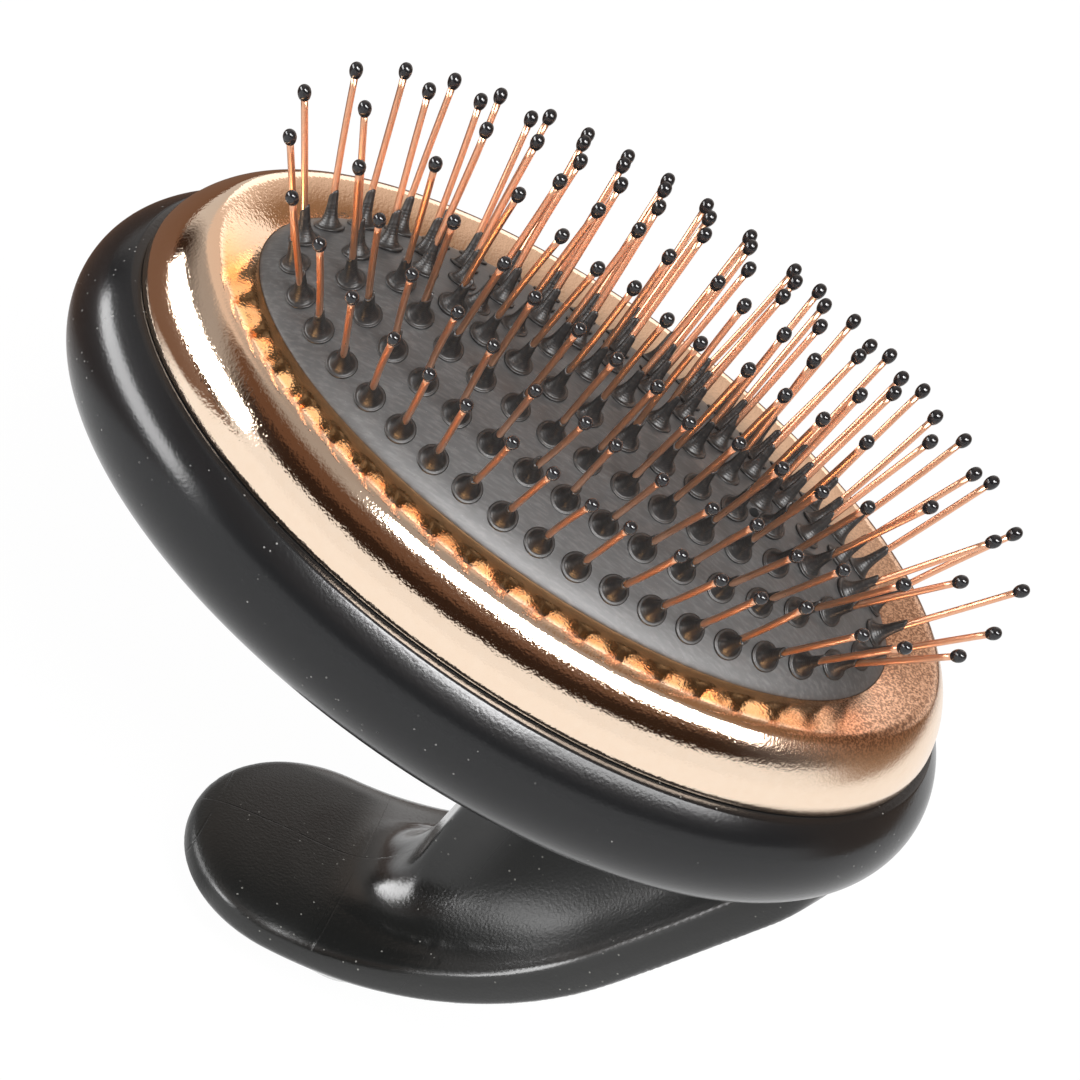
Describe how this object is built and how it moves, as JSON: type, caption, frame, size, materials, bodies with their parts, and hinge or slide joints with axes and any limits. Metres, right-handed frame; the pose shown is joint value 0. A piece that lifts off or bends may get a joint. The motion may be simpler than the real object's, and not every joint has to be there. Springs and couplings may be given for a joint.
{
  "type": "palm hairbrush",
  "caption": "Oval cushion hairbrush held in the palm: rings of ball-tipped pins on a domed rubber pad in a bright bezel, with a curved grip plate on a web under the head.",
  "frame": {"origin": "middle of the part's box in X and Y, on the flat foot of the grip plate that it stands on", "axes": "+Z the way the middle pins point, +X along the oval head towards the end where the grip climbs into the shell, +Y across the head"},
  "size_m": [0.1158, 0.077, 0.1113],
  "materials": {
    "shell_black": "satin black moulded plastic with a soft gloss",
    "grip_black": "satin black moulded plastic with a fine leather-like grain",
    "rose_gold": "metallised rose gold, mirror bright with a faint ripple",
    "cushion_rubber": "dull black rubber, faintly dusty",
    "pin_copper": "copper-plated drawn wire, polished",
    "ball_black": "glossy black enamel bead",
    "frame_black": "plain black moulded plastic",
    "plug_black": "plain black moulded plastic",
    "screw_steel": "zinc-plated"
  },
  "bodies": {
    "body": {"head_shell": "shell_black", "palm_handle": "grip_black", "handle_screws": "screw_steel", "handle_washers": "screw_steel", "shell_screws": "screw_steel", "screw_plugs": "plug_black", "bezel_ring": "rose_gold", "cushion_frame": "frame_black", "frame_screws": "screw_steel", "cushion": "cushion_rubber"},
    "ring_1": {"pins_ring_1": "pin_copper", "balls_ring_1": "ball_black"},
    "ring_2": {"pins_ring_2": "pin_copper", "balls_ring_2": "ball_black"},
    "ring_3": {"pins_ring_3": "pin_copper", "balls_ring_3": "ball_black"},
    "ring_4": {"pins_ring_4": "pin_copper", "balls_ring_4": "ball_black"}
  },
  "joints": [
    {"name": "ring_4_sink", "type": "slide", "parent": "body", "child": "ring_4", "axis": [0, 0, -1], "range_m": [0, 0.0025], "stiffness_N_per_m": 12000, "deforming": ["cushion"]},
    {"name": "ring_3_sink", "type": "slide", "parent": "body", "child": "ring_3", "axis": [0, 0, -1], "range_m": [0, 0.00212]},
    {"name": "ring_2_sink", "type": "slide", "parent": "body", "child": "ring_2", "axis": [0, 0, -1], "range_m": [0, 0.00154]},
    {"name": "ring_1_sink", "type": "slide", "parent": "body", "child": "ring_1", "axis": [0, 0, -1], "range_m": [0, 0.000743]}
  ],
  "couplings": [
    {"joint": "ring_3_sink", "follows": "ring_4_sink", "ratio": 0.847},
    {"joint": "ring_2_sink", "follows": "ring_4_sink", "ratio": 0.617},
    {"joint": "ring_1_sink", "follows": "ring_4_sink", "ratio": 0.297}
  ]
}
